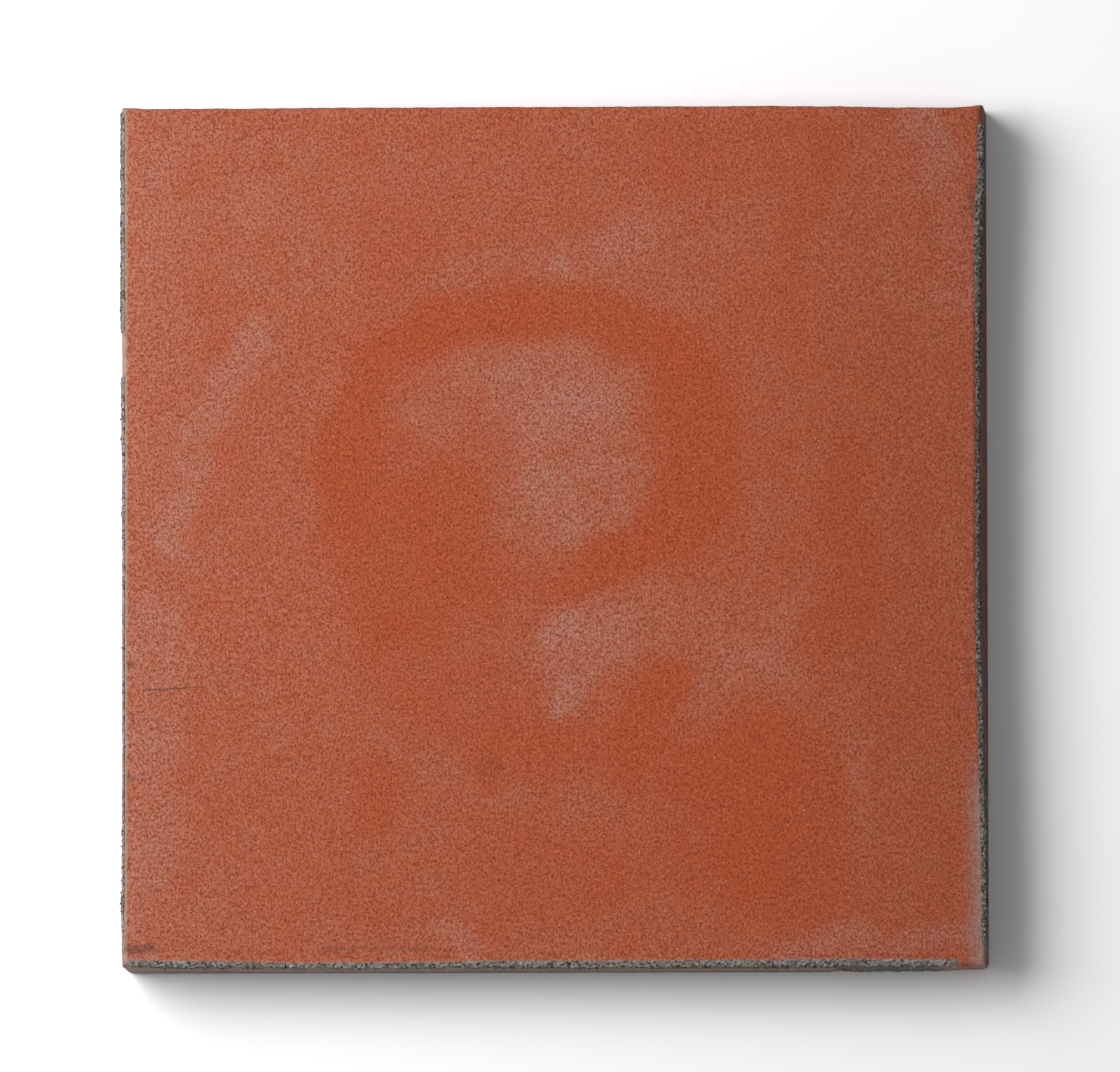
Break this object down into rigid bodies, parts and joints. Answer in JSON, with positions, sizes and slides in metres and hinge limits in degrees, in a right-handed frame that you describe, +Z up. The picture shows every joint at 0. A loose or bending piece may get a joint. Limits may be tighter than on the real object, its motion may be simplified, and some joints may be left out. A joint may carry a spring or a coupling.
{
  "type": "floor tile",
  "caption": "Square pressed red-clay floor tile with a rounded arris, sides that lean in to the face, and a keyed underside.",
  "frame": {"origin": "centre of the underside, on the plane that the tile lies on", "axes": "+Z up through the wearing face; -Y towards the picture's lower edge, +X to its right"},
  "size_m": [0.2, 0.2, 0.018],
  "materials": {
    "fired_clay": "matt, unglazed",
    "mortar_residue": "rough, sandy"
  },
  "bodies": {
    "root": {"floor_tile": "fired_clay"}
  },
  "joints": []
}
